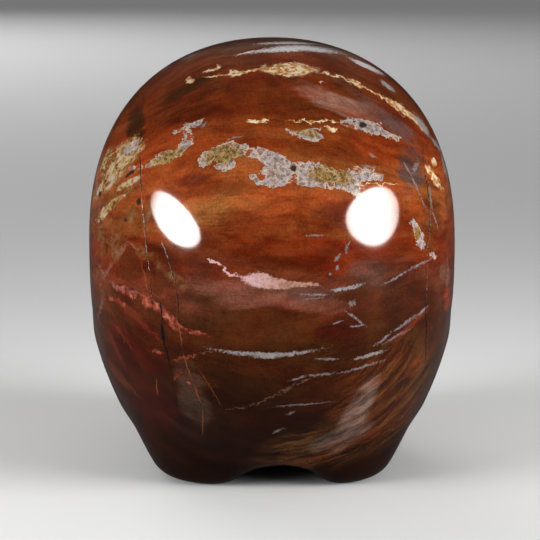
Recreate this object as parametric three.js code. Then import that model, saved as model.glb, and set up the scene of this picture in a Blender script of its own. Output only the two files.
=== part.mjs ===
// A human skull carved in the round from one block of petrified wood, ground and polished all over.
// Millimetres, +Z up, the face towards -Y and the back of the head towards +Y. The origin is on the ground,
// under the middle of the box round the skull. It rests on the ground edges of its jaw and nape.
import * as THREE from "three";

// Driving dimensions: the finished skull is brought to exactly these.
const WIDTH = 84;
const LENGTH = 126;
const HEIGHT = 100;

// The stone's colour, as seen from a few steps away, and its polish.
const STONE_COLOUR = 0x7a3a1c;
const STONE_ROUGHNESS = 0.12;

// How finely the surface is faceted: rows from ear to ear, and columns round the head.
const ROWS = 64;
const COLUMNS = 78;
// Facets are smaller on the middle line and on the face than elsewhere, by these shares.
const MIDDLE_SHARE = 0.3;
const FACE_SHARE = 0.5;

// Clay tools. Each takes a point and gives its distance to a lump, negative inside the lump. All but the
// underside use points whose x is measured outwards from the middle plane, so both halves of the head match.
const TINY = 1e-9;

function ball([x, y, z], [cx, cy, cz], [rx, ry, rz]) {
  const a = (x - cx) / rx;
  const b = (y - cy) / ry;
  const c = (z - cz) / rz;
  const reach = Math.sqrt(a * a + b * b + c * c);
  const slope = Math.sqrt((a / rx) ** 2 + (b / ry) ** 2 + (c / rz) ** 2);
  return slope < TINY ? -Math.min(rx, ry, rz) : (reach * (reach - 1)) / slope;
}

// A ball with flatter sides and rounder corners, the more so the higher its bluntness is over 2.
function block([x, y, z], [cx, cy, cz], [rx, ry, rz], bluntness) {
  const a = Math.abs(x - cx) / rx;
  const b = Math.abs(y - cy) / ry;
  const c = Math.abs(z - cz) / rz;
  const reach = (a ** bluntness + b ** bluntness + c ** bluntness) ** (1 / bluntness);
  const n = bluntness - 1;
  const slope = Math.sqrt((a ** n / rx) ** 2 + (b ** n / ry) ** 2 + (c ** n / rz) ** 2);
  return slope < TINY ? -Math.min(rx, ry, rz) : (reach ** n * (reach - 1)) / slope;
}

// A straight rod with round ends that tapers from one radius to the other.
function bar([x, y, z], [sx, sy, sz], [ex, ey, ez], startRadius, endRadius) {
  const [ax, ay, az] = [ex - sx, ey - sy, ez - sz];
  const [fx, fy, fz] = [x - sx, y - sy, z - sz];
  const dot = (ax * fx + ay * fy + az * fz) / (ax * ax + ay * ay + az * az);
  const share = Math.min(1, Math.max(0, dot));
  const off = Math.sqrt((fx - ax * share) ** 2 + (fy - ay * share) ** 2 + (fz - az * share) ** 2);
  return off - (startRadius + (endRadius - startRadius) * share);
}

// A bowl that widens towards -Y from its deepest point. The lean is how far it shifts sideways and up for
// each millimetre outwards, and the half widths are those at the given depth.
function bowl([x, y, z], [fx, fy, fz], [leanX, leanZ], [wx, wz], depth, bluntness) {
  const out = fy - y;
  const a = (x - fx - leanX * out) / wx;
  const b = (z - fz - leanZ * out) / wz;
  const level = Math.abs(a) ** bluntness + Math.abs(b) ** bluntness - out / depth;
  const slopeX = (bluntness * Math.abs(a) ** (bluntness - 1) * Math.sign(a)) / wx;
  const slopeZ = (bluntness * Math.abs(b) ** (bluntness - 1) * Math.sign(b)) / wz;
  const slopeY = 1 / depth + leanX * slopeX + leanZ * slopeZ;
  return level / Math.sqrt(slopeX ** 2 + slopeY ** 2 + slopeZ ** 2);
}

// Adds lump b to lump a with a fillet about as wide as soft.
function add(a, b, soft) {
  const overlap = Math.max(soft - Math.abs(a - b), 0) / soft;
  return Math.min(a, b) - (overlap * overlap * soft) / 4;
}

// Grinds lump b out of lump a, with an edge rounded about as wide as soft.
function grind(a, b, soft) {
  return -add(-a, b, soft);
}

// The brain case: a long egg, blunt at the top, with the forehead in front and the nape below.
function brainCase(p) {
  const crown = block(p, [0, 14, 55], [42, 49, 46], 2.3);
  const forehead = ball(p, [0, -18, 62], [33, 34, 33]);
  const nape = ball(p, [0, 5, 33], [38.5, 40, 41]);
  return add(add(crown, forehead, 16), nape, 10);
}

// Two low lobes at the back that the skull stands on.
function napeLobes(p) {
  return ball(p, [15, 15, 9], [11, 15, 14]);
}

// The upper jaw: the mass between the cheeks, and the arch that holds the teeth.
function upperJaw(p) {
  const cheeks = ball(p, [0, -33, 42], [22, 18, 18]);
  const arch = block(p, [0, -34, 30], [18.5, 26, 11], 2.5);
  return add(cheeks, arch, 6);
}

// The lower jaw: its curved body, the arch that holds the teeth, the chin and the upright branches.
function lowerJaw(p) {
  const front = block(p, [0, -33, 5], [20.5, 26.5, 12.5], 2.4);
  const back = bar(p, [17, -28, 6], [22.5, -10, 8], 9, 7.5);
  const arch = block(p, [0, -34, 18], [18, 25.5, 8], 2.5);
  const chin = ball(p, [2, -54.5, 5], [10.5, 6.5, 6]);
  const branch = block(p, [26.5, -14, 25], [5, 11, 22], 2.4);
  return add(add(add(add(front, back, 6), arch, 4), chin, 5), branch, 6);
}

// The cheekbone and the arch that runs back from it to just in front of the ear.
function cheekbone(p) {
  const body = ball(p, [25, -38, 42], [9.5, 8.5, 7]);
  const arch = bar(p, [30, -34, 43], [38, 0, 44], 4.2, 2.6);
  return add(body, arch, 5);
}

// The outer rim of the eye socket, from the brow down to the cheekbone.
function socketRim(p) {
  return bar(p, [28, -39, 63], [29, -38, 46], 3.4, 4);
}

function browRidge(p) {
  const ridge = bar(p, [9, -48, 66], [24, -43.5, 65.5], 4.6, 3.6);
  const betweenBrows = ball(p, [0, -47, 64], [9, 6, 6]);
  return add(ridge, betweenBrows, 5);
}

function noseBridge(p) {
  return bar(p, [0, -46, 60], [0, -53.5, 49], 3.6, 3.2);
}

// The bony knob behind the ear.
function earKnob(p) {
  return bar(p, [32, 9, 33], [29, 8, 19], 6.5, 5);
}

// Hollows, ground out of the lumps.
function templeHollow(p) {
  return ball(p, [47, -26, 58], [15, 19, 16]);
}

function cheekHollow(p) {
  return ball(p, [36, -40, 29], [14, 18, 9]);
}

// The gap between the upright branch of the jaw and the nape.
function jawGap(p) {
  return bar(p, [43, 1, 28], [37, 4, -2], 4.5, 8);
}

function eyeSocket(p) {
  return bowl(p, [11.3, -33, 51.6], [0.34, 0.1], [11, 9.7], 15, 2.5);
}

function noseHole(p) {
  const wide = bowl(p, [1.4, -46, 39.5], [0.08, -0.05], [4.4, 4.8], 8, 2);
  const narrow = bowl(p, [0, -47, 46], [0, 0], [3.2, 6.5], 8, 2);
  return add(wide, narrow, 3);
}

// The arch under the nape, open at the back and a little off the middle, and the hollow under the jaw.
function underside(point, p) {
  const arch = bar(point, [-2.8, 60, -7], [0, -20, -7], 12, 14);
  const hollow = ball(p, [0, -14, -6], [15, 28, 14]);
  return add(arch, hollow, 6);
}

// The whole head as one lump: everything built up and ground out, then the ground face it stands on.
function head(point) {
  const p = [Math.abs(point[0]), point[1], point[2]];
  let stone = brainCase(p);
  stone = add(stone, napeLobes(p), 9);
  stone = add(stone, upperJaw(p), 8);
  stone = add(stone, lowerJaw(p), 5);
  stone = grind(stone, templeHollow(p), 9);
  stone = grind(stone, cheekHollow(p), 8);
  stone = grind(stone, jawGap(p), 6);
  stone = add(stone, earKnob(p), 6);
  stone = add(stone, cheekbone(p), 5);
  stone = add(stone, socketRim(p), 5);
  stone = add(stone, browRidge(p), 7);
  stone = add(stone, noseBridge(p), 6);
  stone = grind(stone, eyeSocket(p), 3);
  stone = grind(stone, noseHole(p), 2.5);
  stone = grind(stone, underside(point, p), 3);
  return grind(stone, point[2], 3);
}

// The surface is where straight rays from a point inside the head first meet the stone, coming from outside.
const HEART = [0, 2, 47];
const REACH = 100;
const MARCH_SHARE = 0.8;
const LEAST_STEP = 0.4;
const HALVINGS = 12;

function alongRay([dx, dy, dz], distance) {
  return [HEART[0] + dx * distance, HEART[1] + dy * distance, HEART[2] + dz * distance];
}

function surfacePoint(direction) {
  let outside = REACH;
  let inside = REACH;
  while (inside > 0) {
    const gap = head(alongRay(direction, inside));
    if (gap <= 0) break;
    outside = inside;
    inside -= Math.max(gap * MARCH_SHARE, LEAST_STEP);
  }
  for (let i = 0; i < HALVINGS; i++) {
    const middle = (outside + inside) / 2;
    if (head(alongRay(direction, middle)) > 0) outside = middle;
    else inside = middle;
  }
  return alongRay(direction, inside);
}

// Rows run from ear to ear and columns round the head, starting and ending at the back.
const FACE_ANGLE = (188 * Math.PI) / 180;

function carvedPoint(row, column) {
  const u = row / ROWS;
  const v = column / COLUMNS;
  const across = Math.PI * u + (MIDDLE_SHARE / 2) * Math.sin(2 * Math.PI * u);
  const around = FACE_ANGLE + Math.PI + 2 * Math.PI * v + FACE_SHARE * Math.sin(2 * Math.PI * v);
  const ring = Math.sin(across);
  return surfacePoint([Math.cos(across), ring * Math.cos(around), ring * Math.sin(around)]);
}

// Moves a point onto the stone, straight up or down the slope of the stone there.
const PROBE = 0.05;

function ontoStone(point) {
  const gap = head(point);
  const [x, y, z] = point;
  const slope = [
    (head([x + PROBE, y, z]) - gap) / PROBE,
    (head([x, y + PROBE, z]) - gap) / PROBE,
    (head([x, y, z + PROBE]) - gap) / PROBE,
  ];
  const share = gap / Math.max(slope[0] ** 2 + slope[1] ** 2 + slope[2] ** 2, TINY);
  return [x - slope[0] * share, y - slope[1] * share, z - slope[2] * share];
}

// Evens out the facets: in each round every point slides towards the middle of its four neighbours, and
// then goes back onto the stone.
const ROUNDS = 12;
const SLIDE_SHARE = 0.5;
const FLAT_GAP = 0.05;

function evened(points, neighbours) {
  let places = points;
  for (let round = 0; round < ROUNDS; round++) {
    places = places.map((place, i) => {
      const count = neighbours[i].length;
      const slid = place.map((value, axis) => {
        const middle = neighbours[i].reduce((sum, j) => sum + places[j][axis], 0) / count;
        return value + (middle - value) * SLIDE_SHARE;
      });
      return ontoStone(slid);
    });
  }
  return places.map(ontoStone).map(([x, y, z]) => [x, y, z < FLAT_GAP ? 0 : z]);
}

function apart(a, b) {
  return Math.hypot(a[0] - b[0], a[1] - b[1], a[2] - b[2]);
}

// One point at each ear, a ring of points for each row between, and four-cornered cells between the rings.
// Each cell is split along its shorter diagonal.
function carvedSurface() {
  const last = (ROWS - 1) * COLUMNS + 1;
  const at = (row, column) => {
    if (row === 0) return 0;
    return row === ROWS ? last : 1 + (row - 1) * COLUMNS + ((column + COLUMNS) % COLUMNS);
  };
  const points = [];
  const neighbours = [];
  for (let row = 0; row <= ROWS; row++) {
    for (let column = 0; column < COLUMNS; column++) {
      const i = at(row, column);
      if (points[i] === undefined) points[i] = carvedPoint(row, column);
      const across = [at(Math.max(row - 1, 0), column), at(Math.min(row + 1, ROWS), column)];
      neighbours[i] = [...across, at(row, column - 1), at(row, column + 1)];
    }
  }
  neighbours[0] = Array.from({ length: COLUMNS }, (_, column) => at(1, column));
  neighbours[last] = Array.from({ length: COLUMNS }, (_, column) => at(ROWS - 1, column));
  const places = evened(points, neighbours);
  const corners = [];
  for (let row = 0; row < ROWS; row++) {
    for (let column = 0; column < COLUMNS; column++) {
      const [a, b] = [at(row, column), at(row + 1, column)];
      const [c, d] = [at(row + 1, column + 1), at(row, column + 1)];
      if (a === d) corners.push(a, b, c);
      else if (b === c) corners.push(a, b, d);
      else if (apart(places[a], places[c]) < apart(places[b], places[d])) corners.push(a, b, c, a, c, d);
      else corners.push(a, b, d, b, c, d);
    }
  }
  const geometry = new THREE.BufferGeometry();
  geometry.setAttribute("position", new THREE.Float32BufferAttribute(places.flat(), 3));
  geometry.setIndex(corners);
  return geometry;
}

// Brings the carving to the driving dimensions, standing on the ground over the origin.
function toSize(geometry) {
  geometry.computeBoundingBox();
  const { min, max } = geometry.boundingBox;
  geometry.translate(-(min.x + max.x) / 2, -(min.y + max.y) / 2, -min.z);
  geometry.scale(WIDTH / (max.x - min.x), LENGTH / (max.y - min.y), HEIGHT / (max.z - min.z));
  return geometry;
}

const stone = new THREE.MeshStandardMaterial({
  color: STONE_COLOUR,
  roughness: STONE_ROUGHNESS,
  metalness: 0,
  flatShading: true,
});
const skull = new THREE.Mesh(toSize(carvedSurface()), stone);
skull.name = "skull_carving";

const carving = new THREE.Group();
carving.add(skull);

export default carving;
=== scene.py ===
import bpy
import numpy as np
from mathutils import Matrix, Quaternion, Vector


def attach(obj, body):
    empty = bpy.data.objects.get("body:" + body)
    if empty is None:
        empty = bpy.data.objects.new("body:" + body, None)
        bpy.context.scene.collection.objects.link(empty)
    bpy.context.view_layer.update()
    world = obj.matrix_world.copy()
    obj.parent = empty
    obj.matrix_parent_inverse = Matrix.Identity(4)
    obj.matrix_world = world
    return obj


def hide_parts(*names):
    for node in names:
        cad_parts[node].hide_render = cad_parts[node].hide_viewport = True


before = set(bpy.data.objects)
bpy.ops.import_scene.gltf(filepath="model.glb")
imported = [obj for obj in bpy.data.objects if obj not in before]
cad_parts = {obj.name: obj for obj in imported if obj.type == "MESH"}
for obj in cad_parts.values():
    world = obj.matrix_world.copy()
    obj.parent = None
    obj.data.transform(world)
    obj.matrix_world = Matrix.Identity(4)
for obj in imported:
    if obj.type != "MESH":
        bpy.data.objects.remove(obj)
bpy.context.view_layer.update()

# THE SKULL'S SHAPE
# The carving as one solid of stone, in millimetres, +Z up, the face towards -Y. Lumps are added and hollows
# ground out, each as a distance that is negative inside the stone. It is the same design as the CAD, with
# the teeth, the parting in the nose and the slight unevenness of hand polishing added.
SIZE_MM = (84.0, 126.0, 100.0)
TINY = 1e-9


def ball(p, centre, radii):
    """Distance to an egg: how far a point lies outside it, along the steepest way out."""
    a, b, c = (p[i] - centre[i] for i in range(3))
    reach = np.sqrt((a / radii[0]) ** 2 + (b / radii[1]) ** 2 + (c / radii[2]) ** 2)
    slope = np.sqrt((a / radii[0] ** 2) ** 2 + (b / radii[1] ** 2) ** 2 + (c / radii[2] ** 2) ** 2)
    return np.where(slope < TINY, -min(radii), reach * (reach - 1) / np.maximum(slope, TINY))


def block(p, centre, radii, bluntness):
    """Distance to an egg with flatter sides and rounder corners, the more so the higher its bluntness."""
    a, b, c = (np.abs(p[i] - centre[i]) / radii[i] for i in range(3))
    reach = (a**bluntness + b**bluntness + c**bluntness) ** (1 / bluntness)
    n = bluntness - 1
    slope = np.sqrt((a**n / radii[0]) ** 2 + (b**n / radii[1]) ** 2 + (c**n / radii[2]) ** 2)
    return np.where(slope < TINY, -min(radii), reach**n * (reach - 1) / np.maximum(slope, TINY))


def bar(p, start, end, start_radius, end_radius):
    """Distance to a straight rod with round ends that tapers from one radius to the other."""
    along = [end[i] - start[i] for i in range(3)]
    off = [p[i] - start[i] for i in range(3)]
    share = sum(along[i] * off[i] for i in range(3)) / sum(value * value for value in along)
    share = np.clip(share, 0, 1)
    gap = np.sqrt(sum((off[i] - along[i] * share) ** 2 for i in range(3)))
    return gap - (start_radius + (end_radius - start_radius) * share)


def bowl(p, floor, lean, half_widths, depth, bluntness):
    """Distance to a bowl that widens towards -Y, as a rounded section whose size grows with the way out."""
    out = floor[1] - p[1]
    a = (p[0] - floor[0] - lean[0] * out) / half_widths[0]
    b = (p[2] - floor[2] - lean[1] * out) / half_widths[1]
    level = np.abs(a) ** bluntness + np.abs(b) ** bluntness - out / depth
    slope_x = bluntness * np.abs(a) ** (bluntness - 1) * np.sign(a) / half_widths[0]
    slope_z = bluntness * np.abs(b) ** (bluntness - 1) * np.sign(b) / half_widths[1]
    slope_y = 1 / depth + lean[0] * slope_x + lean[1] * slope_z
    return level / np.sqrt(slope_x**2 + slope_y**2 + slope_z**2)


def add(a, b, soft):
    """The nearer of two lumps, with a fillet about as wide as soft where they meet."""
    overlap = np.maximum(soft - np.abs(a - b), 0) / soft
    return np.minimum(a, b) - overlap * overlap * soft / 4


def grind(a, b, soft):
    """Lump a without lump b, with an edge rounded about as wide as soft."""
    return -add(-a, b, soft)


def teeth_relief(p):
    """How deep the stone lies under the jaws' arches: rounded teeth either side of the bite line.

    The angle round the arch gives the place within a tooth, from -1 to 1, and the height gives the place
    within the row. The depth grows with the fourth power of both, and the bite line is a narrow groove.
    """
    angle = np.arctan2(p[0] / 18.5, np.maximum(-34 - p[1], 0.01) / 26)
    edges = np.array([0.0, 0.2, 0.36, 0.53, 0.69, 0.85, 1.06, 1.28])
    tooth = np.clip(np.searchsorted(edges, angle, side="right") - 1, 0, len(edges) - 2)
    middle, half = (edges[tooth + 1] + edges[tooth]) / 2, (edges[tooth + 1] - edges[tooth]) / 2
    across = np.clip((angle - middle) / half, -1, 1)
    upper = p[2] > 23.4
    row_middle, row_half = np.where(upper, 27.4, 19.9), np.where(upper, 4.0, 3.5)
    up = (p[2] - row_middle) / row_half
    in_row = np.clip((1.25 - np.abs(up)) / 0.35, 0, 1)
    in_front = np.clip((1.28 - angle) / 0.1, 0, 1)
    between = 0.75 * np.abs(across) ** 5 * in_row
    rounded = 0.45 * np.clip(np.abs(up), 0, 1) ** 6 * in_row
    bite = 0.9 * np.exp(-(((p[2] - 23.4) / 0.55) ** 2))
    return (between + rounded + bite) * in_front


def polish_waves(q):
    """The slight unevenness left by hand polishing: a few slow waves, a fraction of a tenth of a millimetre."""
    wave = np.sin(q[0] / 7.1 + 1.3) * np.sin(q[1] / 8.3 + 0.4) + np.sin(q[2] / 6.7 + q[0] / 11 + 2.1)
    return 0.05 * wave


def head(q):
    """The whole skull: everything built up, then everything ground out, then the ground face it stands on."""
    p = np.stack([np.abs(q[0]), q[1], q[2]])
    crown = block(p, (0, 14, 55), (42, 49, 46), 2.3)
    forehead = ball(p, (0, -18, 62), (33, 34, 33))
    nape = ball(p, (0, 5, 33), (38.5, 40, 41))
    stone = add(add(crown, forehead, 16), nape, 10)
    stone = add(stone, ball(p, (15, 15, 9), (11, 15, 14)), 9)
    upper_arch = block(p, (0, -34, 30), (18.5, 26, 11), 2.5)
    stone = add(stone, add(ball(p, (0, -33, 42), (22, 18, 18)), upper_arch, 6), 8)
    jaw = add(block(p, (0, -33, 5), (20.5, 26.5, 12.5), 2.4), bar(p, (17, -28, 6), (22.5, -10, 8), 9, 7.5), 6)
    jaw = add(jaw, block(p, (0, -34, 18), (18, 25.5, 8), 2.5), 4)
    jaw = add(jaw, ball(p, (2, -54.5, 5), (10.5, 6.5, 6)), 5)
    jaw = add(jaw, block(p, (26.5, -14, 25), (5, 11, 22), 2.4), 6)
    stone = add(stone, jaw, 5)
    stone = grind(stone, ball(p, (47, -26, 58), (15, 19, 16)), 9)
    stone = grind(stone, ball(p, (36, -40, 29), (14, 18, 9)), 8)
    stone = grind(stone, bar(p, (43, 1, 28), (37, 4, -2), 4.5, 8), 6)
    stone = add(stone, bar(p, (32, 9, 33), (29, 8, 19), 6.5, 5), 6)
    cheekbone = add(ball(p, (25, -38, 42), (9.5, 8.5, 7)), bar(p, (30, -34, 43), (38, 0, 44), 4.2, 2.6), 5)
    stone = add(stone, cheekbone, 5)
    stone = add(stone, bar(p, (28, -39, 63), (29, -38, 46), 3.4, 4), 5)
    brow = add(bar(p, (9, -48, 66), (24, -43.5, 65.5), 4.6, 3.6), ball(p, (0, -47, 64), (9, 6, 6)), 5)
    stone = add(stone, brow, 7)
    stone = add(stone, bar(p, (0, -46, 60), (0, -53.5, 49), 3.6, 3.2), 6)
    stone = grind(stone, bowl(p, (11.3, -33, 51.6), (0.34, 0.1), (11, 9.7), 15, 2.5), 3)
    nose = add(
        bowl(p, (2.3, -46, 39.5), (0.08, -0.05), (3.6, 4.8), 8, 2),
        bowl(p, (0.3, -47, 46), (0, 0), (3.0, 6.5), 8, 2),
        2,
    )
    stone = grind(stone, nose, 1.5)
    stone = stone + teeth_relief(p)
    under = add(bar(q, (-2.8, 60, -7), (0, -20, -7), 12, 14), ball(p, (0, -14, -6), (15, 28, 14)), 6)
    stone = grind(stone, under, 3)
    return grind(stone + polish_waves(q), q[2], 3)


def carved_surface(rows, columns):
    """Points of the stone on a grid of rows from ear to ear and columns round the head.

    Each point is where a straight ray from a point inside the head first meets the stone, coming from
    outside. The grid is finer on the middle line and on the face.
    """
    u = np.arange(1, rows)[:, None] / rows
    v = np.arange(columns)[None, :] / columns
    across = np.pi * u + 0.15 * np.sin(2 * np.pi * u)
    around = np.radians(8) + 2 * np.pi * v + 0.35 * np.sin(2 * np.pi * v)
    ring = np.sin(across)
    rays = np.stack(np.broadcast_arrays(np.cos(across), ring * np.cos(around), ring * np.sin(around)), -1)
    rays = np.vstack([[1.0, 0, 0], rays.reshape(-1, 3), [-1.0, 0, 0]])
    heart = np.array([0.0, 2.0, 47.0])
    outside, inside = np.full(len(rays), 100.0), np.full(len(rays), 100.0)
    marching = np.arange(len(rays))
    while len(marching):
        gap = head((heart + rays[marching] * inside[marching, None]).T)
        marching, gap = marching[gap > 0], gap[gap > 0]
        outside[marching] = inside[marching]
        inside[marching] -= np.maximum(gap * 0.8, 0.25)
    for _ in range(16):
        middle = (outside + inside) / 2
        is_out = head((heart + rays * middle[:, None]).T) > 0
        outside, inside = np.where(is_out, middle, outside), np.where(is_out, inside, middle)
    return heart + rays * inside[:, None]


def onto_stone(points):
    """Points moved onto the stone, straight up or down the slope of the stone there."""
    gap = head(points.T)
    slope = np.stack([(head((points + step).T) - gap) / 0.02 for step in np.eye(3) * 0.02], -1)
    return points - slope * (gap / np.maximum((slope**2).sum(1), 0.2))[:, None]


def evened(points, rows, columns, rounds):
    """Points slid towards the middle of their four neighbours and put back onto the stone, round by round."""
    for _ in range(rounds):
        grid = points[1:-1].reshape(rows - 1, columns, 3)
        above = np.concatenate([np.broadcast_to(points[0], (1, columns, 3)), grid[:-1]])
        below = np.concatenate([grid[1:], np.broadcast_to(points[-1], (1, columns, 3))])
        middle = (above + below + np.roll(grid, 1, 1) + np.roll(grid, -1, 1)) / 4
        slid = np.vstack([points[:1], ((grid + middle) / 2).reshape(-1, 3), points[-1:]])
        points = onto_stone(slid)
    points = onto_stone(points)
    points[:, 2] = np.where(points[:, 2] < 0.05, 0, points[:, 2])
    return points


def cells(rows, columns):
    """Corner numbers of the grid's cells: triangles at the two ears, four-cornered cells between the rows."""
    column = np.arange(columns)
    after = (column + 1) % columns
    last = (rows - 1) * columns + 1
    ends = [np.stack([0 * column, 1 + column, 1 + after], -1)]
    ends.append(np.stack([0 * column + last, last - columns + after, last - columns + column], -1))
    start = 1 + np.arange(rows - 2)[:, None] * columns
    quads = np.stack([start + column, start + columns + column, start + columns + after, start + after], -1)
    return ends, quads.reshape(-1, 4)


rows, columns = 278, 344
places = evened(carved_surface(rows, columns), rows, columns, 12)
low, high = places.min(0), places.max(0)
middle = np.array([(low[0] + high[0]) / 2, (low[1] + high[1]) / 2, low[2]])
places = (places - middle) * (np.array(SIZE_MM) / (high - low)) / 1000
ends, quads = cells(rows, columns)
skull_mesh = bpy.data.meshes.new("skull")
skull_mesh.from_pydata(places.tolist(), [], [*ends[0].tolist(), *ends[1].tolist(), *quads.tolist()])
skull_mesh.shade_smooth()
skull = bpy.data.objects.new("skull", skull_mesh)
bpy.context.scene.collection.objects.link(skull)
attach(skull, "root")
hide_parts("skull_carving")

# THE STONE
# Petrified wood turned to red and brown jasper, with lace, veins and threads of cream, lilac, pink and coral
# agate, ground smooth and polished to a mirror. The grain lies in layers across the head. The marks lie flush.
# Places on the back are given as seen from behind: mm to the right of the middle, and mm up.
stone = bpy.data.materials.new("petrified wood")
stone.use_nodes = True
tree = stone.node_tree
shader = tree.nodes["Principled BSDF"]


def placed(tree, kind, *values, **settings):
    """A node in that tree, with its settings, and its first sockets joined to sockets or set to values."""
    made = tree.nodes.new("ShaderNode" + kind)
    for name, value in settings.items():
        setattr(made, name, value)
    for socket, value in zip(made.inputs, values):
        if isinstance(value, bpy.types.NodeSocket):
            tree.links.new(value, socket)
        elif value is not None:
            socket.default_value = value
    return made


def maths(operation, *values, tree=tree):
    """The result of a sum on values."""
    return placed(tree, "Math", *values, operation=operation).outputs[0]


def vectors(operation, *values):
    """The result of a sum on vectors: a value for a dot product, a vector for the others."""
    made = placed(tree, "VectorMath", *values, operation=operation)
    return made.outputs["Value" if operation == "DOT_PRODUCT" else "Vector"]


def scaled(vector, size):
    """The vector, or colour, made that many times as large."""
    made = placed(tree, "VectorMath", vector, operation="SCALE")
    if isinstance(size, bpy.types.NodeSocket):
        tree.links.new(size, made.inputs["Scale"])
    else:
        made.inputs["Scale"].default_value = size
    return made.outputs["Vector"]


def between(value, low, high):
    """0 at low, 1 at high, and a smooth rise between them."""
    return placed(tree, "MapRange", value, low, high, interpolation_type="SMOOTHSTEP").outputs["Result"]


def stretched(value, low, high, new_low, new_high):
    """The value moved in step from one range to another, and kept inside it."""
    return placed(tree, "MapRange", value, low, high, new_low, new_high).outputs["Result"]


def clouds(vector, scale, detail=2.0, roughness=0.5, output="Fac"):
    """Cloudy noise of that many clouds a unit, from 0 to 1."""
    made = placed(tree, "TexNoise", vector)
    made.inputs["Scale"].default_value = scale
    made.inputs["Detail"].default_value = detail
    made.inputs["Roughness"].default_value = roughness
    return made.outputs[output]


def mixed(factor, low, high, blend="MIX"):
    """A colour that goes from low to high with the factor."""
    made = placed(tree, "Mix", data_type="RGBA", blend_type=blend)
    for socket, value in zip((made.inputs[0], made.inputs[6], made.inputs[7]), (factor, low, high)):
        if isinstance(value, bpy.types.NodeSocket):
            tree.links.new(value, socket)
        else:
            socket.default_value = value
    return made.outputs[2]


CONTRAST = 1.25
STUDIO_LIGHT = 2.2


def tint(red, green, blue):
    """The stone's own colour that the camera shows, at its contrast and in the studio's light, as red, green and
    blue from 0 to 255."""
    shares = (np.array([red, green, blue]) / 255) ** (1 / CONTRAST)
    light = np.where(shares < 0.04045, shares / 12.92, ((shares + 0.055) / 1.055) ** 2.4)
    return (*(light / STUDIO_LIGHT).tolist(), 1.0)


def ramp(value, *stops):
    """A colour looked up along a row of colours, each with its place."""
    made = placed(tree, "ValToRGB", value)
    elements = made.color_ramp.elements
    while len(elements) < len(stops):
        elements.new(0.5)
    for element, (place, colour) in zip(elements, stops):
        element.position = place
        element.color = tint(*colour)
    return made.outputs["Color"]


# A lens-shaped mark along a bent line: 1 at its middle, 0 at its edge, and less outside. Its line rises by
# slope for each mm to the right of its centre, and by bend for each square mm.
lens = bpy.data.node_groups.new("lens mark", "ShaderNodeTree")
for name in ("right", "up", "centre right", "centre up", "half length", "half width", "slope", "bend", "others"):
    lens.interface.new_socket(name, in_out="INPUT", socket_type="NodeSocketFloat")
lens.interface.new_socket("height", in_out="OUTPUT", socket_type="NodeSocketFloat")
given = lens.nodes.new("NodeGroupInput").outputs
along = maths("SUBTRACT", given["right"], given["centre right"], tree=lens)
above = maths("SUBTRACT", given["up"], given["centre up"], tree=lens)
rise = maths("MULTIPLY_ADD", along, given["bend"], given["slope"], tree=lens)
beside = maths("SUBTRACT", above, maths("MULTIPLY", rise, along, tree=lens), tree=lens)
along_share = maths("DIVIDE", along, given["half length"], tree=lens)
side_share = maths("DIVIDE", beside, given["half width"], tree=lens)
squared = maths("MULTIPLY", along_share, along_share, tree=lens)
squares = maths("MULTIPLY_ADD", side_share, side_share, squared, tree=lens)
height = maths("MAXIMUM", maths("SUBTRACT", 1.0, squares, tree=lens), given["others"], tree=lens)
lens.links.new(height, lens.nodes.new("NodeGroupOutput").inputs["height"])


def marks(place, rows):
    """The highest of a row of lens marks: each is (right, up, half length, half width, slope, bend)."""
    highest = -9.0
    for row in rows:
        made = tree.nodes.new("ShaderNodeGroup")
        made.node_tree = lens
        for socket, value in zip(made.inputs, (*place, *row, highest)):
            if isinstance(value, bpy.types.NodeSocket):
                tree.links.new(value, socket)
            else:
                socket.default_value = value
        highest = made.outputs["height"]
    return highest


# Millimetres on the piece, and the same as seen from behind and a little above: right, up and towards the eye.
TILT = np.radians(8)
spot = scaled(placed(tree, "TexCoord").outputs["Object"], 1000)
right = vectors("DOT_PRODUCT", spot, (-1, 0, 0))
up = vectors("DOT_PRODUCT", spot, (0, -np.sin(TILT), np.cos(TILT)))
near = vectors("DOT_PRODUCT", spot, (0, np.cos(TILT), np.sin(TILT)))
seen = placed(tree, "CombineXYZ", right, up, near).outputs[0]
backward = vectors("DOT_PRODUCT", spot, (0, 1, 0))
on_back = between(backward, -15.0, 1.0)


def wavered(vector, scale, amount, detail=2.0):
    """Places shifted by cloudy noise, so that straight edges waver."""
    shift = vectors("SUBTRACT", clouds(spot, scale, detail, 0.55, "Color"), (0.5, 0.5, 0.5))
    return vectors("MULTIPLY_ADD", shift, (2 * amount,) * 3, vector)


calm_place = wavered(wavered(seen, 0.15, 0.5), 1.1, 0.35, 3.0)
rough_place = wavered(wavered(calm_place, 0.6, 0.9), 2.2, 0.45, 2.0)
calm = placed(tree, "SeparateXYZ", calm_place).outputs[:2]
rough = placed(tree, "SeparateXYZ", rough_place).outputs[:2]
upright = (calm[1], calm[0])

# The grain: layers across the head that arch over its top and sag under its middle, with fine fibres in them.
soft = placed(tree, "SeparateXYZ", wavered(seen, 0.04, 4.0)).outputs
wide = maths("MULTIPLY", soft["X"], soft["X"])
bending = stretched(soft["Y"], 30.0, 75.0, 0.0003, 0.0005)
from_flat = maths("SUBTRACT", soft["Y"], 56.0)
layer = maths("MULTIPLY", from_flat, maths("MULTIPLY_ADD", bending, wide, 1.0))
grain_place = placed(
    tree,
    "CombineXYZ",
    maths("MULTIPLY", soft["X"], 0.06),
    maths("MULTIPLY", layer, 0.3),
    maths("MULTIPLY", soft["Z"], 0.05),
).outputs[0]
streaks = clouds(grain_place, 1.0, 4.0, 0.55)
fibres = clouds(vectors("MULTIPLY", grain_place, (3.2, 9.0, 3.2)), 1.0, 3.0, 0.65)
smoke_place = wavered(vectors("MULTIPLY", grain_place, (2.0, 0.8, 2.0)), 0.13, 0.55, 4.0)
smoke = clouds(smoke_place, 1.0, 6.0, 0.6)
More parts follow.
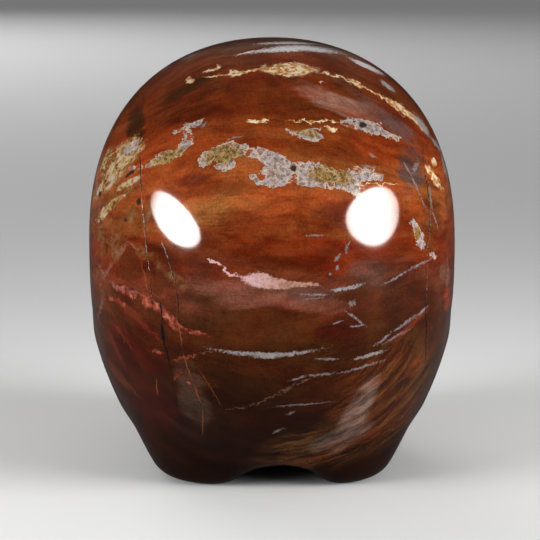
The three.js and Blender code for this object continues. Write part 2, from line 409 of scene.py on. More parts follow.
haze = clouds(vectors("MULTIPLY_ADD", smoke_place, (0.55,) * 3, (3.1, 8.4, 0.7)), 1.0, 5.0, 0.6)
speckle = clouds(spot, 2.1, 3.0, 0.7)
drift = clouds(spot, 0.04, 2.0, 0.5)
to_the_face = between(maths("MULTIPLY_ADD", maths("SUBTRACT", drift, 0.5), 40.0, backward), 0.0, -50.0)

# Its colours change from layer to layer, from dark brown at the foot to orange, and mauve at the top. The darkest
# browns at the foot are partly the stone's own colour and partly painted shade.
band = maths("MULTIPLY_ADD", maths("SUBTRACT", streaks, 0.5), 26.0, soft["Y"])
elsewhere = maths("SUBTRACT", maths("MULTIPLY_ADD", drift, 150.0, -20.0), band)
band = maths("MULTIPLY_ADD", elsewhere, maths("MULTIPLY", to_the_face, 0.7), band)
colour = ramp(
    maths("DIVIDE", band, 100.0),
    (0.03, (28, 8, 1)),
    (0.12, (40, 14, 3)),
    (0.21, (54, 22, 5)),
    (0.28, (62, 26, 6)),
    (0.35, (72, 33, 11)),
    (0.42, (93, 42, 25)),
    (0.50, (106, 38, 14)),
    (0.56, (118, 54, 24)),
    (0.62, (140, 72, 34)),
    (0.68, (134, 64, 28)),
    (0.75, (122, 52, 18)),
    (0.81, (100, 38, 8)),
    (0.88, (100, 40, 12)),
    (0.94, (114, 54, 28)),
    (1.00, (108, 50, 26)),
)


def zone(colour, shade, strength, rows):
    """The stone's colour with soft patches of another shade, their edges frayed along the grain."""
    height = maths("MULTIPLY_ADD", maths("SUBTRACT", streaks, 0.5), 3.0, marks((right, up), rows))
    height = maths("MULTIPLY", between(height, 0.0, 0.9), maths("MULTIPLY", on_back, strength))
    return mixed(height, colour, tint(*shade))


colour = zone(colour, (126, 84, 64), 0.8, [(0, 97.0, 30, 4.0, 0, -0.006)])
colour = zone(colour, (146, 82, 40), 0.8, [(-12, 60, 9, 5.0, 0.1, 0), (-3, 68.6, 6, 2, -0.1, 0)])
colour = zone(colour, (94, 40, 24), 0.85, [(-17.3, 64.3, 5, 2.6, 0.1, 0), (16, 57, 8, 3.5, 0, 0), (-15, 46, 5, 2, -0.3, 0)])
colour = zone(colour, (118, 42, 12), 0.6, [(16, 71.5, 12, 3.6, -0.2, 0), (0, 72.6, 8, 1.6, 0, 0)])
colour = zone(colour, (76, 26, 3), 0.85, [(-17.0, 80.3, 8, 3.4, 0.25, 0)])
colour = zone(colour, (52, 27, 4), 0.95, [(-19.5, 84.8, 9, 2.2, 0.55, 0), (-30, 76.5, 2.5, 6, 0.6, 0)])
colour = zone(colour, (146, 98, 82), 0.95, [(14, 82.0, 11.5, 3.2, -0.4, 0)])
colour = zone(colour, (112, 74, 64), 0.9, [(22, 80.5, 11, 2.6, -0.75, 0)])
colour = zone(colour, (84, 58, 54), 0.9, [(30.5, 67.0, 3.8, 6, 0, 0), (27, 76.5, 5, 2.4, -0.5, 0)])
colour = zone(colour, (118, 66, 52), 0.85, [(-6.5, 40.0, 12.5, 3.4, -0.05, 0.01), (9, 38, 8, 2.2, 0, 0)])
colour = zone(colour, (84, 56, 48), 0.6, [(21, 44, 5, 5, 0, 0), (9, 40.5, 7, 2, 0, 0)])
# Dark red-brown patches low at the left side: partly the stone's own colour, partly painted shade.
colour = zone(colour, (60, 13, 1), 0.9, [(-30.5, 26, 8.5, 11, 0, 0), (-26, 15, 7, 7, 0, 0)])
colour = zone(colour, (74, 26, 10), 0.85, [(-32, 37, 5, 6, 0, 0), (-23.5, 46, 5, 5, -0.5, 0)])
colour = zone(colour, (80, 25, 6), 0.85, [(5.5, 46.8, 10, 2.4, 0, 0)])
colour = zone(colour, (54, 11, 1), 0.85, [(15.0, 31, 7, 3.5, 0, 0)])
colour = zone(colour, (158, 44, 14), 0.85, [(39.3, 39.2, 1.5, 3.2, 0, 0)])
# A soft grey patch low at the left: partly grey stone, partly a painted soft reflection.
colour = zone(colour, (80, 56, 46), 0.55, [(-17.6, 18.5, 4.2, 8.0, -0.9, 0)])
# A dark brown patch low at the right side: partly the stone's own colour, partly painted shade.
colour = zone(colour, (58, 21, 6), 0.85, [(28.5, 40, 7, 11, 0, 0), (26, 28, 7, 6, 0, 0), (34, 36, 4, 10, 0, 0)])
colour = zone(colour, (92, 48, 24), 0.8, [(35.0, 57, 2.8, 9.5, 0, 0)])
colour = zone(colour, (124, 52, 16), 0.5, [(29.6, 32.5, 5.4, 1.2, 1.0, 0), (31.6, 23.0, 2.4, 3.0, 0.6, 0)])
colour = zone(colour, (110, 46, 12), 0.4, [(-34.6, 21.5, 3.2, 1.6, -1.1, 0)])

# At the lower right the wood's own grain shows: pale fibres that bend round the side of a knot. The pale grey patch
# over them is partly pale wood and partly a painted soft reflection.
from_knot = placed(tree, "SeparateXYZ", vectors("SUBTRACT", wavered(seen, 0.2, 0.8), (-2.0, 46.0, 0.0))).outputs
round_knot = maths("ARCTAN2", from_knot["X"], maths("MULTIPLY", from_knot["Y"], -1.0))
from_knot = maths("SQRT", maths("MULTIPLY_ADD", from_knot["X"], from_knot["X"], maths("POWER", from_knot["Y"], 2.0)))
wood_place = placed(tree, "CombineXYZ", maths("MULTIPLY", from_knot, 0.8), maths("MULTIPLY", round_knot, 3.0))
wood_grain = clouds(wood_place.outputs[0], 1.0, 4.0, 0.62)
wood_patch = marks((right, up), [(24, 17, 13, 12.0, 0.5, 0), (10, 6.0, 14, 6, 0.2, 0)])
wood_patch = maths("MULTIPLY", between(wood_patch, -0.4, 0.9), on_back)
wood_lines = maths("MULTIPLY", wood_patch, between(wood_grain, 0.38, 0.62))
colour = mixed(maths("MULTIPLY", wood_lines, 0.7), colour, tint(116, 66, 30))
# Partly painted soft reflection: a pale grey patch over the knot's grain, partly pale wood.
pale_patch_and_reflection = marks(
    (right, up),
    [
        (18.3, 13.3, 4.5, 4.65, 1.45, 0),
        (20.2, 16.7, 2.3, 2.37, 1.49, 0),
        (15.4, 8.1, 6.1, 2.1, 0.35, 0),
    ],
)
pale_patch_and_reflection = maths("MULTIPLY", between(pale_patch_and_reflection, -0.9, 0.9), on_back)
pale_patch_and_reflection = maths("MULTIPLY", pale_patch_and_reflection, stretched(wood_grain, 0.36, 0.62, 0.25, 0.8))
colour = mixed(pale_patch_and_reflection, colour, tint(146, 130, 122))

# Smoky mottling, fine dark fibres here and there, and speckle over all of it.
smoke_share = mixed(between(smoke, 0.32, 0.68), (0.72, 0.62, 0.55, 1.0), (1.26, 1.36, 1.4, 1.0))
haze_share = mixed(between(haze, 0.36, 0.64), (1.1, 0.88, 0.8, 1.0), (0.94, 1.07, 1.05, 1.0))
colour = vectors("MULTIPLY", vectors("MULTIPLY", colour, smoke_share), haze_share)
shade = maths("MULTIPLY", between(fibres, 0.4, 0.28), between(haze, 0.46, 0.62))
shade = maths("MULTIPLY_ADD", shade, -0.45, stretched(speckle, 0.25, 0.75, 0.7, 1.3))
shade = maths("MULTIPLY_ADD", maths("SUBTRACT", fibres, 0.5), 0.5, shade)
colour = scaled(colour, shade)


def laid_on(colour, height, mark_colour, sharp=0.25):
    """The stone's colour with a mark of another colour where the height is above nought."""
    return mixed(between(height, 0.0, sharp), colour, mark_colour)


def only_on_back(height):
    """The height, sunk where the place isn't on the back of the head."""
    return maths("MULTIPLY_ADD", maths("SUBTRACT", on_back, 1.0), 9.0, height)


# At the left edge the stone is tan and olive rubble in slanting strands, round a wedge of plain red.
slanting = placed(tree, "Mapping", wavered(seen, 0.25, 1.4, 3.0), vector_type="POINT")
slanting.inputs["Rotation"].default_value = (0, 0, -np.radians(42))
strands = clouds(vectors("MULTIPLY", slanting.outputs[0], (0.16, 0.36, 0.16)), 1.0, 5.0, 0.64)
rubble = marks(
    calm,
    [
        (-34.1, 60.6, 6.6, 3.52, 0.4, 0),
        (-35, 52.3, 4.4, 5.28, 0, 0),
        (-28.9, 55.7, 3.1, 3.96, 0, 0),
        (-28.6, 49.8, 3.1, 1.66, -0.77, 0),
        (-24.4, 46.5, 2.8, 1.77, -0.89, 0),
        (-20.8, 43.6, 2.6, 1.3, -0.62, 0),
        (-35.1, 50.5, 3.2, 2.56, 1.33, 0),
        (-26.7, 59.3, 1.8, 3.08, 0, 0),
        (-38.1, 43.4, 1.8, 3.08, 0, 0),
        (-35.7, 65.9, 4.8, 3.52, 0.6, 0),
    ],
)
rubble = maths("MULTIPLY_ADD", maths("SUBTRACT", strands, 0.52), 6.0, rubble)
rubble = maths("MULTIPLY", between(rubble, -0.5, 1.2), maths("MULTIPLY", on_back, 0.9))
pitted = clouds(vectors("MULTIPLY", slanting.outputs[0], (0.42, 0.75, 0.25)), 1.0, 5.0, 0.72)
rubble_colour = ramp(
    pitted,
    (0.36, (62, 36, 20)),
    (0.43, (90, 44, 20)),
    (0.50, (116, 62, 30)),
    (0.57, (102, 72, 42)),
    (0.66, (140, 106, 72)),
)
colour = mixed(rubble, colour, rubble_colour)
feather_height = only_on_back(
    marks(
        calm,
        [
            (-36, 64.8, 4.1, 2.02, 0.85, 0),
            (-32.7, 68.9, 4.9, 2.74, 0.74, 0),
            (-32.1, 71.6, 3.6, 2.07, 0.62, 0),
            (-35.2, 59.3, 4.3, 1.17, 0.87, 0),
            (-30.9, 64.4, 3, 0.84, 0.44, 0),
            (-37.2, 69, 1.9, 2.15, 1.68, 0),
        ],
    )
)
feather_height = maths("MULTIPLY_ADD", maths("SUBTRACT", strands, 0.43), 4.0, feather_height)
feather_height = maths("MULTIPLY_ADD", maths("SUBTRACT", speckle, 0.5), 1.6, feather_height)
feather_colour = ramp(pitted, (0.38, (88, 56, 24)), (0.46, (136, 96, 52)), (0.54, (176, 150, 112)), (0.66, (168, 158, 154)))
colour = laid_on(colour, feather_height, feather_colour, 0.9)
wedge = marks(
    calm,
    [
        (-30.8, 44.9, 3.7, 1.98, 0, 0),
        (-31, 47.5, 2.6, 1.98, 0, 0),
        (-30.7, 49.4, 1.3, 1.54, 0, 0),
        (-24.5, 42.3, 1.5, 2.64, 0, 0),
    ],
)
wedge = maths("MULTIPLY", between(wedge, 0.0, 0.3), maths("MULTIPLY", on_back, 0.9))
colour = mixed(wedge, colour, scaled(mixed(smoke, tint(58, 20, 6), tint(104, 46, 20)), stretched(speckle, 0.2, 0.8, 0.7, 1.3)))

# Veins of the same kinds on the face and sides: patches of lace, and long threads, along the grain.
off_back = maths("MULTIPLY", between(to_the_face, 0.3, 0.0), -4.0)
patches = clouds(vectors("MULTIPLY_ADD", grain_place, (1.0, 0.7, 1.0), (7.3, 2.1, 4.4)), 1.0, 1.5, 0.4)
patches = maths("MULTIPLY_ADD", maths("SUBTRACT", patches, 0.63), 9.0, off_back)
patches = maths("MULTIPLY_ADD", maths("SUBTRACT", smoke, 0.5), 3.0, patches)
waves = clouds(vectors("MULTIPLY_ADD", grain_place, (1.1, 1.3, 1.1), (1.7, 5.2, 9.1)), 1.0, 2.0, 0.5)
thread = maths("SUBTRACT", 0.014, maths("ABSOLUTE", maths("SUBTRACT", waves, 0.5)))
thread = maths("MULTIPLY_ADD", thread, 60.0, maths("MULTIPLY", between(drift, 0.54, 0.42), -1.0))
thread = maths("ADD", maths("MULTIPLY_ADD", between(up, 80.0, 90.0), -9.0, thread), off_back)

# Lace agate: bubbles of lilac-grey and ochre with cream rims, small pits painted dark as painted shade, and red stone
# left between them.
bubbles = placed(tree, "TexVoronoi", rough_place, feature="DISTANCE_TO_EDGE")
bubbles.inputs["Scale"].default_value = 0.56
rim = bubbles.outputs["Distance"]
lace_marks = marks(
    rough,
    [
        (-13.6, 69.5, 2.2, 1.67, 0.41, 0),
        (-9.4, 70.3, 4.5, 1.69, 0.23, 0),
        (-4.6, 70.5, 3.6, 1.14, -0.27, 0),
        (-9.8, 68.2, 2.2, 1.98, 0.2, 0),
        (-10.7, 70.8, 2.9, 1.54, 0.5, 0),
        (0, 69.1, 4.7, 1.88, -0.38, 0),
        (-0.2, 64.5, 4.9, 1.43, -0.05, 0.011),
        (1.9, 66.1, 4.4, 2.21, -0.08, 0),
        (0.4, 67.3, 2, 1.54, 0, 0),
        (3.2, 65.8, 3.5, 1.98, 0, 0),
        (9.2, 65.5, 7.1, 2.89, -0.14, 0),
        (15.8, 64.4, 3.8, 2.3, -0.3, 0),
        (17.4, 62.5, 2, 1.21, -0.46, 0),
        (19.1, 65.7, 5, 1.32, -0.08, 0),
        (19.7, 67.2, 2.9, 0.29, -0.15, 0),
        (17, 77, 2.6, 0.99, -0.07, 0),
        (20.8, 76.2, 3.9, 1.56, -0.16, 0),
        (25.2, 74.7, 2.9, 0.7, -0.33, 0),
        (4.4, 74.9, 1.8, 0.46, -0.27, 0),
        (7.5, 74.2, 3.5, 1.22, -0.1, 0),
        (8.4, 75.4, 2.6, 0.34, 0.19, 0),
        (-18.3, 76.2, 3.6, 0.66, 0.39, 0),
        (-18.1, 73.7, 1.1, 2.2, 0, 0),
        (-15.9, 76.8, 1.1, 0.66, 0.4, 0),
        (-19.1, 71.8, 1.7, 1.35, 0.7, 0),
        (-23.2, 69.4, 4.2, 1.21, 0.35, 0),
        (-21.7, 69.9, 2.6, 1.11, 0.16, 0),
        (-29.6, 67.4, 1.9, 0.68, 0.22, 0),
        (-30.1, 72.3, 1.3, 1.1, 0.3, 0),
        (31.6, 53.4, 1.6, 1.91, -1.66, 0),
        (32.4, 51.6, 1.1, 1.76, 0, 0),
        (35.2, 48.3, 0.9, 0.66, 0, 0),
    ],
)
lace_height = maths("MAXIMUM", only_on_back(lace_marks), patches)
lace_height = maths("MULTIPLY_ADD", rim, 0.9, maths("SUBTRACT", lace_height, 0.12))
kinds = placed(tree, "TexVoronoi", rough_place, feature="F1")
kinds.inputs["Scale"].default_value = 0.56
kind = placed(tree, "SeparateColor", kinds.outputs["Color"]).outputs
ochre = marks(rough, [(-10.4, 70.0, 4.5, 2.2, 0.2, 0), (12.5, 65.6, 5.0, 2.2, -0.1, 0), (-22.5, 69.2, 4, 1.6, 0.4, 0), (6.6, 75.1, 3.5, 0.88, -0.2, 0),
(31.4, 53.3, 0.9, 1.32, 0, 0)])
ochre = maths("MAXIMUM", between(ochre, -0.5, 0.6), maths("SUBTRACT", stretched(kind[0], 0.5, 1.0, 0, 1), on_back))
grain_size = clouds(spot, 1.3, 3.0, 0.7)
lilac_part = mixed(between(grain_size, 0.36, 0.64), tint(118, 98, 92), tint(170, 156, 158))
ochre_part = mixed(between(grain_size, 0.35, 0.65), tint(88, 62, 24), tint(154, 119, 67))
lace_colour = mixed(ochre, lilac_part, ochre_part)
rim_share = maths("MULTIPLY", between(rim, 0.11, 0.02), maths("MULTIPLY_ADD", ochre, -0.3, 0.85))
rim_share = maths("MULTIPLY", rim_share, maths("MULTIPLY_ADD", between(lace_height, 0.3, 0.9), -0.6, 1.0))
lace_colour = mixed(rim_share, lace_colour, tint(204, 182, 150))
left_red = maths("MULTIPLY", between(kind[2], 0.8, 0.84), between(rim, 0.05, 0.16))
left_red = maths("MULTIPLY", left_red, maths("SUBTRACT", 1.0, ochre))
lace_colour = mixed(left_red, lace_colour, tint(146, 66, 32))
lace_edge = maths("MULTIPLY", between(lace_height, 0.24, 0.1), 0.7)
lace_colour = mixed(lace_edge, lace_colour, mixed(ochre, tint(187, 166, 147), tint(180, 147, 93)))
colour = mixed(maths("MULTIPLY", between(lace_height, -0.3, 0.05), 0.5), colour, tint(116, 40, 12))
colour = laid_on(colour, lace_height, lace_colour, 0.14)
# Painted shade: the small pits in the lace and the rubble painted dark brown.
pore_shade = only_on_back(
    marks(
        calm,
        [
            (4.6, 67.1, 0.7, 0.84, 0, 0),
            (19.5, 76.6, 1, 0.79, 0, 0),
            (16.2, 76.8, 0.4, 0.29, 0, 0),
            (17.7, 77.2, 0.4, 0.26, 0, 0),
            (-30.8, 66.3, 1.6, 0.59, 0.48, 0),
            (-38.1, 62.1, 0.5, 0.75, 0, 0),
            (-31.7, 56.1, 0.5, 0.48, 0, 0),
            (-28.7, 60, 0.7, 0.88, 0, 0),
        ],
    )
)
colour = laid_on(colour, pore_shade, tint(55, 40, 29), 0.7)

# Plain cream and yellow agate.
cream_height = only_on_back(
    marks(
        rough,
        [
            (3.6, 89.2, 7.8, 1.5, -0.01, 0),
            (3.9, 89.1, 6.3, 1.89, -0.01, 0),
            (-6.6, 88.4, 4.8, 0.51, 0.18, 0),
            (-7.9, 88.3, 2, 0.88, 0.1, 0),
            (-12.6, 87.6, 2.8, 0.35, 0.11, 0),
            (-13.1, 89.3, 2.3, 0.52, 0.38, 0),
            (-18, 86.9, 0.9, 0.88, 0, 0),
            (13.8, 87.8, 3.6, 0.25, -0.26, 0),
            (18.6, 86, 2.7, 0.51, -0.45, 0),
            (22.6, 84, 2.7, 0.44, -0.47, 0),
            (27.8, 81.1, 3.5, 1.19, -0.62, 0),
            (32, 78.4, 3.1, 1.17, -0.78, 0),
            (10.9, 86.2, 0.7, 0.26, 0, 0),
            (-3.2, 77.3, 3.1, 0.38, 0.08, 0),
            (8.8, 77.3, 6.4, 0.24, -0.01, 0),
            (13.1, 77.2, 0.9, 0.44, 0, 0),
            (12.9, 75.6, 1.3, 0.53, -0.25, 0),
            (35.7, 65.6, 2.7, 1.37, -1.09, 0),
            (35.8, 69.1, 0.7, 1.1, 0, 0),
            (22.4, 63.8, 5.8, 0.18, 0.01, 0),
        ],
    )
)
cream_colour = mixed(between(clouds(rough_place, 0.9, 3.0), 0.38, 0.6), tint(168, 100, 36), tint(230, 208, 170))
colour = laid_on(colour, cream_height, cream_colour, 0.6)

# White and lilac veins: thin lenses and threads. Towards the crown they are painted near-white, as painted highlight.
white_marks = marks(
    calm,
    [
        (5.3, 94.6, 12.2, 0.97, 0.03, -0.01),
        (3.6, 96.3, 8.4, 0.66, 0.02, -0.006),
        (21.3, 90.8, 4.7, 0.95, -0.42, 0),
        (25.8, 86.1, 2, 0.93, -0.74, 0),
        (33.4, 77.3, 2.5, 1.43, -1.18, 0),
        (36.9, 73.3, 1.8, 0.89, -1.03, 0),
        (38.6, 69.1, 0.8, 2.39, -4.41, 0),
        (-1, 27.1, 13.1, 0.66, 0.01, 0.009),
        (-1.5, 26.8, 4.7, 0.73, -0.02, 0.012),
        (21, 26.7, 4.1, 0.5, 0.27, 0.016),
        (16.3, 41.5, 4, 0.56, 0.23, 0.016),
        (-5.2, 93.5, 3.3, 0.32, 0.29, 0),
        (-31.5, 71.5, 1.3, 1.1, 0, 0),
    ],
)
white_up = marks(
    upright,
    [
        (67.2, 29.5, 2.1, 0.38, -0.57, 0),
        (63.8, 31.2, 2.6, 0.36, -0.42, 0),
        (60.1, 33, 2.4, 0.29, -0.48, 0),
        (61, 34.7, 3.4, 0.29, -0.1, 0),
        (56.4, 35.6, 2.6, 0.3, -0.35, 0),
        (67.7, 31.4, 1.7, 0.6, 0.33, 0),
    ],
)
faint_marks = marks(
    calm,
    [
        (13.6, 94.8, 3.6, 0.55, -0.27, 0),
        (-18.2, 93.3, 2.7, 0.53, 0.46, 0),
        (-24.1, 90.8, 1.7, 0.52, 0.65, 0),
        (8.7, 40.2, 4.5, 0.29, -0.03, 0),
        (17.1, 38.3, 1, 0.88, 0, 0),
        (17.7, 35, 3, 0.46, -0.72, 0),
        (18.4, 33.3, 2, 0.31, 0.11, 0),
        (14, 34.2, 1.5, 0.27, 0.15, 0),
        (24.1, 30.4, 2.5, 0.49, 0.74, 0),
        (28.9, 33.7, 3.7, 0.58, 0.65, 0),
        (32.9, 36.2, 1.7, 0.48, 0.91, 0),
        (27.3, 31, 3.6, 0.45, 0.51, 0),
        (12, 26.1, 3.1, 0.33, -0.05, 0),
        (5.6, 21.9, 2.4, 0.34, 0.25, 0),
        (10.4, 22.8, 3.6, 0.4, 0.09, 0),
        (19.1, 24.2, 6.3, 0.36, 0.27, 0),
        (6.5, 16.1, 7.7, 0.27, 0.09, 0),
        (1.5, 9.9, 1.7, 0.49, 0.46, 0),
        (4.1, 14.2, 1.2, 0.41, 0.31, 0),
        (9, 52.6, 2.9, 0.31, 0, 0),
        (16, 50.1, 0.5, 1.32, 0, 0),
        (13.8, 48.1, 0.9, 0.57, 1, 0),
        (13.9, 45.8, 0.4, 0.75, 0, 0),
        (12.4, 44.5, 0.4, 0.44, 0, 0),
        (-14.6, 76.5, 0.9, 0.48, 0.9, 0),
        (-7.7, 73.7, 2.4, 0.27, 0.15, 0),
        (21, 67.6, 2.4, 0.4, -0.13, 0),
        (21.7, 69.9, 1.1, 0.48, -0.4, 0),
        (8.7, 39.3, 3.1, 0.22, 0.11, 0),
        (-33.6, 41.8, 1.6, 0.41, -0.59, 0),
        (16.3, 50.9, 0.8, 0.33, 1.13, 0),
        (26.9, 43.8, 3.3, 0.37, 0.5, 0),
        (32.2, 46.5, 3.6, 0.39, 0.49, 0),
    ],
)
faint_height = maths("MAXIMUM", only_on_back(maths("MAXIMUM", faint_marks, white_up)), thread)
faint_height = maths("MULTIPLY_ADD", maths("SUBTRACT", speckle, 0.5), 3.4, faint_height)
faint_colour = mixed(clouds(spot, 0.35, 3.0), tint(104, 88, 84), tint(152, 140, 144))
colour = laid_on(colour, faint_height, faint_colour, 1.3)
white_height = maths("MULTIPLY_ADD", maths("SUBTRACT", speckle, 0.5), 2.8, only_on_back(white_marks))
white_and_highlight_colour = mixed(clouds(spot, 0.6, 3.0), tint(100, 88, 82), tint(178, 172, 172))
# Painted highlight: the white veins turn near-white towards the crown.
white_and_highlight_colour = mixed(between(up, 84.0, 93.0), white_and_highlight_colour, tint(240, 236, 238))
colour = laid_on(colour, white_height, white_and_highlight_colour, 0.9)

# Tan threads made of fine grains.
tan_height = only_on_back(
    marks(
        rough,
        [
            (-2, 16.9, 4.1, 0.38, 0.44, 0),
            (3.5, 19.7, 2.8, 0.52, 0.65, 0),
            (6.9, 21.1, 1.9, 0.4, 0.51, 0),
            (-7.9, 15.1, 3.4, 0.27, 0.13, 0),
            (-14.1, 27.5, 1.8, 0.31, 0.15, 0),
            (37.8, 44.6, 1.1, 2.86, 0, 0),
        ],
    )
)
tan_height = maths("MULTIPLY_ADD", maths("SUBTRACT", speckle, 0.55), 3.0, tan_height)
colour = mixed(maths("MULTIPLY", between(tan_height, 0.0, 1.0), 0.75), colour, tint(116, 84, 62))

# Pink agate with red dots, and coral lace at the left.
pink_marks = marks(
    calm,
    [
        (1.4, 42.7, 9.9, 0.8, -0.11, 0.005),
        (-1, 42.7, 6.2, 1.55, -0.13, 0.007),
        (-2.1, 43.3, 3.3, 1.65, -0.15, 0),
    ],
)
pink_thread = marks(
    rough,
    [
        (-12.3, 47, 1.9, 0.36, -0.43, 0),
        (-10.2, 45.6, 0.4, 0.88, 0, 0),
        (-8.5, 44.4, 1.9, 0.37, -0.31, 0),
    ],
)
pink_height = only_on_back(maths("MAXIMUM", pink_marks, pink_thread))
pink_height = maths("MULTIPLY_ADD", maths("SUBTRACT", speckle, 0.5), 1.5, pink_height)
pink_colour = mixed(between(right, -6.0, 5.0), tint(204, 164, 164), tint(170, 130, 110))
dots = maths("MULTIPLY", between(clouds(spot, 1.5, 2.0), 0.5, 0.6), stretched(right, -6.0, 8.0, 0.1, 0.6))
pink_colour = mixed(dots, pink_colour, tint(118, 46, 32))
colour = laid_on(colour, pink_height, pink_colour, 0.5)
coral_height = only_on_back(
    marks(
        rough,
        [
            (-31.6, 40.7, 3.8, 1.05, -0.36, 0),
            (-26.3, 38.1, 2.9, 1.6, -0.68, 0),
            (-22, 34.7, 3.3, 1.84, -0.81, 0),
            (-16.3, 31.9, 3.8, 0.59, -0.27, 0),
            (-24.9, 27.5, 1.8, 0.36, -0.23, 0),
            (-19, 26.2, 2.9, 0.49, 0.15, 0),
            (-20.4, 22.5, 1, 0.82, 1.02, 0),
            (-17.9, 20.7, 0.8, 0.4, -0.57, 0),
            (-33.7, 38.4, 2.6, 0.71, -0.38, 0),
        ],
    )
)
coral_height = maths("MULTIPLY_ADD", maths("SUBTRACT", smoke, 0.5), 2.0, coral_height)
coral_net = clouds(wavered(spot, 0.6, 0.8), 0.5, 4.0, 0.65)
coral_colour = ramp(coral_net, (0.4, (76, 22, 8)), (0.47, (106, 40, 24)), (0.56, (144, 68, 48)), (0.66, (172, 104, 84)))
colour = laid_on(colour, coral_height, coral_colour, 0.6)
red_height = only_on_back(
    marks(
        rough,
        [
            (-29.4, 35, 3.2, 0.96, -1.06, 0),
            (-32.8, 30.7, 2.8, 0.54, -1.18, 0),
            (-34.7, 27.8, 2, 0.87, -2.25, 0),
            (-31.4, 36.4, 3, 0.86, -0.85, 0),
            (-31.8, 19.2, 2.6, 0.46, -1.13, 0),
            (-24.9, 30.8, 1.7, 0.43, -0.98, 0),
            (-36.3, 37.5, 2.1, 0.85, -1.45, 0),
            (30.1, 33.1, 4, 0.68, 0.81, 0),
        ],
    )
)
red_height = maths("MULTIPLY_ADD", maths("SUBTRACT", speckle, 0.5), 2.0, red_height)
colour = mixed(maths("MULTIPLY", between(red_height, -0.9, 1.2), 0.55), colour, tint(112, 42, 24))
mauve_height = only_on_back(
    marks(
        rough,
        [
            (-36.2, 45.1, 1.8, 0.83, 1.39, 0),
            (-33.1, 49.3, 2.1, 0.69, 1.2, 0),
            (-29.7, 50.4, 1.9, 0.43, -0.7, 0),
            (-38.3, 37.1, 1.3, 1.34, 3.22, 0),
            (-37.6, 45, 1.1, 0.87, -1.97, 0),
            (-33.4, 41.5, 2.4, 0.48, -0.44, 0),
            (-29.9, 40.4, 2, 0.31, -0.16, 0),
            (39, 44.5, 0.5, 4.22, -5.24, 0),
        ],
    )
)
mauve_height = maths("MULTIPLY_ADD", maths("SUBTRACT", speckle, 0.5), 2.0, mauve_height)
colour = laid_on(colour, mauve_height, tint(124, 80, 70), 1.2)

# Healed and open cracks that run down the head at both sides: dark brown, and near-black lower down, which is painted
# shade inside the open gap.
crack_height = only_on_back(
    marks(
        upright,
        [
            (79.5, -28.6, 7.7, 0.12, 0.01, 0),
            (66.5, -28.4, 6.6, 0.13, -0.06, 0),
            (52.4, -27.2, 8.8, 0.13, -0.11, 0),
            (42.1, -26.1, 3.6, 0.11, -0.06, 0),
            (35.6, -23.8, 3.6, 0.15, -0.09, 0),
            (31.6, -23.5, 3, 0.51, -0.14, 0),
            (26.4, -22.6, 5.4, 0.18, -0.2, 0),
            (16, -20.9, 6, 0.13, -0.12, 0),
            (46.5, -21.9, 5.1, 0.19, -0.33, 0),
            (38.9, -20.2, 3.3, 0.13, -0.07, 0),
            (70.9, 33.2, 3.6, 0.11, -0.03, 0),
            (63.4, 33.9, 4.6, 0.13, -0.15, 0),
            (53.1, 34.1, 6.7, 0.13, 0.08, 0),
            (34.5, 33.8, 13.8, 0.13, -0.02, 0),
        ],
    )
)
# Painted shade: the lower, open part of the cracks turns near-black.
crack_and_gap_shade_colour = mixed(between(up, 46.0, 36.0), tint(54, 38, 26), tint(16, 10, 8))
colour = laid_on(colour, crack_height, crack_and_gap_shade_colour, 0.8)
seam_height = only_on_back(
    marks(
        upright,
        [
            (44.1, -27.5, 4.6, 0.14, -0.23, 0),
            (32.3, -19.9, 4.7, 0.2, -0.17, 0),
            (24.5, -18.3, 3.9, 0.2, -0.26, 0),
            (18.2, -16.2, 3, 0.21, -0.42, 0),
            (11.7, -15.3, 4.7, 0.18, 0.06, 0),
            (19.6, -13.2, 5.4, 0.13, -0.56, 0),
            (19.5, -25.2, 2.8, 0.18, -0.09, 0),
        ],
    )
)
colour = laid_on(colour, seam_height, tint(135, 71, 38), 1.2)
# Painted light: every colour made up to 1.6 times lighter towards the crown, from 84 mm up, where the studio light
# falls only glancingly.
colour = scaled(colour, stretched(up, 84.0, 101.0, 1.0, 1.6))
tree.links.new(colour, shader.inputs["Base Color"])

# A mirror polish, a little duller on the lace, with the cracks cut in.
dull = between(lace_height, 0.0, 0.3)
shine = maths("MULTIPLY_ADD", speckle, 0.05, 0.06)
tree.links.new(maths("MULTIPLY_ADD", dull, 0.1, shine), shader.inputs["Roughness"])
relief = placed(tree, "Bump")
relief.inputs["Distance"].default_value = 0.0003
relief.inputs["Strength"].default_value = 0.6
tree.links.new(maths("MULTIPLY", between(crack_height, 0.0, 0.8), -0.3), relief.inputs["Height"])
tree.links.new(relief.outputs["Normal"], shader.inputs["Normal"])
shader.inputs["IOR"].default_value = 1.5
skull_mesh.materials.append(stone)

# THE FLOOR
# A plain pale floor for the pictures; it isn't part of the object. The photograph was taken in front of black,
# so the stone's polish mirrors the floor dimmer than the camera sees it.
bpy.ops.mesh.primitive_plane_add(size=60)
floor = bpy.context.object
floor.name = "floor"
pale = bpy.data.materials.new("pale floor")
pale.use_nodes = True
seen_in = placed(pale.node_tree, "LightPath").outputs["Is Glossy Ray"]
paleness = placed(pale.node_tree, "MapRange", seen_in, 0.0, 1.0, 0.52, 0.08).outputs["Result"]
pale.node_tree.links.new(paleness, pale.node_tree.nodes["Principled BSDF"].inputs["Base Color"])
pale.node_tree.nodes["Principled BSDF"].inputs["Roughness"].default_value = 0.9
floor.data.materials.append(pale)

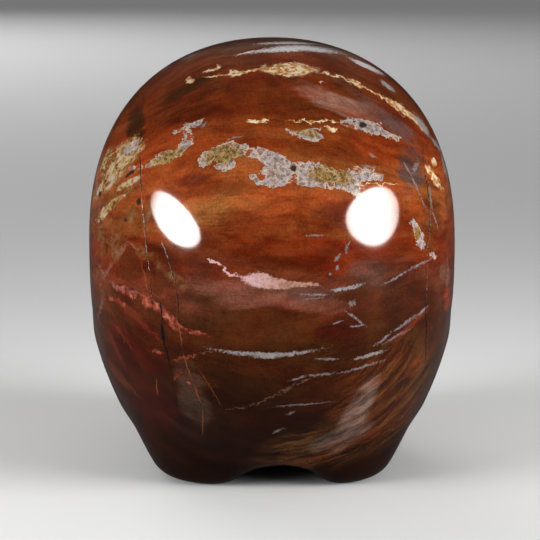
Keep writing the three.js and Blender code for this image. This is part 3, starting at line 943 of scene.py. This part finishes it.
# LIGHTS AND CAMERA
# Two upright soft boxes behind the skull, at the left and right of the camera, which give the two bright
# reflections, and soft light all round. The camera looks at the back of the head from a little above.
camera_height = np.radians(8)
target = Vector((0, 0, 0.05))
to_camera = Vector((0, np.cos(camera_height), np.sin(camera_height)))
camera_data = bpy.data.cameras.new("camera")
camera_data.lens = 36 * 4.281 * 0.7 / 0.54
camera_data.sensor_width = 36
camera = bpy.data.objects.new("camera", camera_data)
camera.location = target + to_camera * 0.7
camera.rotation_euler = to_camera.to_track_quat("Z", "Y").to_euler()
camera_data.shift_x = (270 - 272) / 540
camera_data.shift_y = (250.6 - 270) / 540
bpy.context.scene.collection.objects.link(camera)
bpy.context.scene.camera = camera
world = bpy.data.worlds.new("studio")
world.use_nodes = True
overhead = placed(world.node_tree, "SeparateXYZ", placed(world.node_tree, "TexCoord").outputs["Generated"]).outputs["Z"]
in_the_polish = placed(world.node_tree, "MapRange", overhead, 0.0, 1.0, 0.02, 0.16).outputs["Result"]
seen_in = placed(world.node_tree, "LightPath").outputs["Is Glossy Ray"]
strength = placed(world.node_tree, "MapRange", seen_in, 0.0, 1.0, 0.5, in_the_polish).outputs["Result"]
seen_in = placed(world.node_tree, "LightPath").outputs["Is Camera Ray"]
strength = placed(world.node_tree, "MapRange", seen_in, 0.0, 1.0, strength, 0.27).outputs["Result"]
world.node_tree.links.new(strength, world.node_tree.nodes["Background"].inputs["Strength"])
world.node_tree.nodes["Background"].inputs["Color"].default_value = (1, 1, 1, 1)
bpy.context.scene.world = world
bpy.context.scene.view_settings.view_transform = "Standard"
bpy.context.scene.view_settings.gamma = 1 / CONTRAST
for name, direction, distance, width, height, power, slant, spread in (
    ("left box", (0.79, 0.49, 0.157), 0.6, 0.466, 0.16, 0.95, -15, 60),
    ("right box", (-0.835, 0.442, 0.17), 0.6, 0.485, 0.25, 1.45, 0, 68),
    ("front fill", (0.45, -1.0, 0.3), 1.6, 1.2, 0.9, 11.0, 0, 120),
):
    light_data = bpy.data.lights.new(name, "AREA")
    light_data.shape = "ELLIPSE"
    light_data.size = width
    light_data.size_y = height
    light_data.energy = power
    light = bpy.data.objects.new(name, light_data)
    light.location = target + Vector(direction) * distance
    light_data.spread = np.radians(spread)
    turn = Vector(direction).to_track_quat("Z", "Y") @ Quaternion((0, 0, 1), np.radians(slant))
    light.rotation_euler = turn.to_euler()
    light.visible_glossy = name != "front fill"
    bpy.context.scene.collection.objects.link(light)
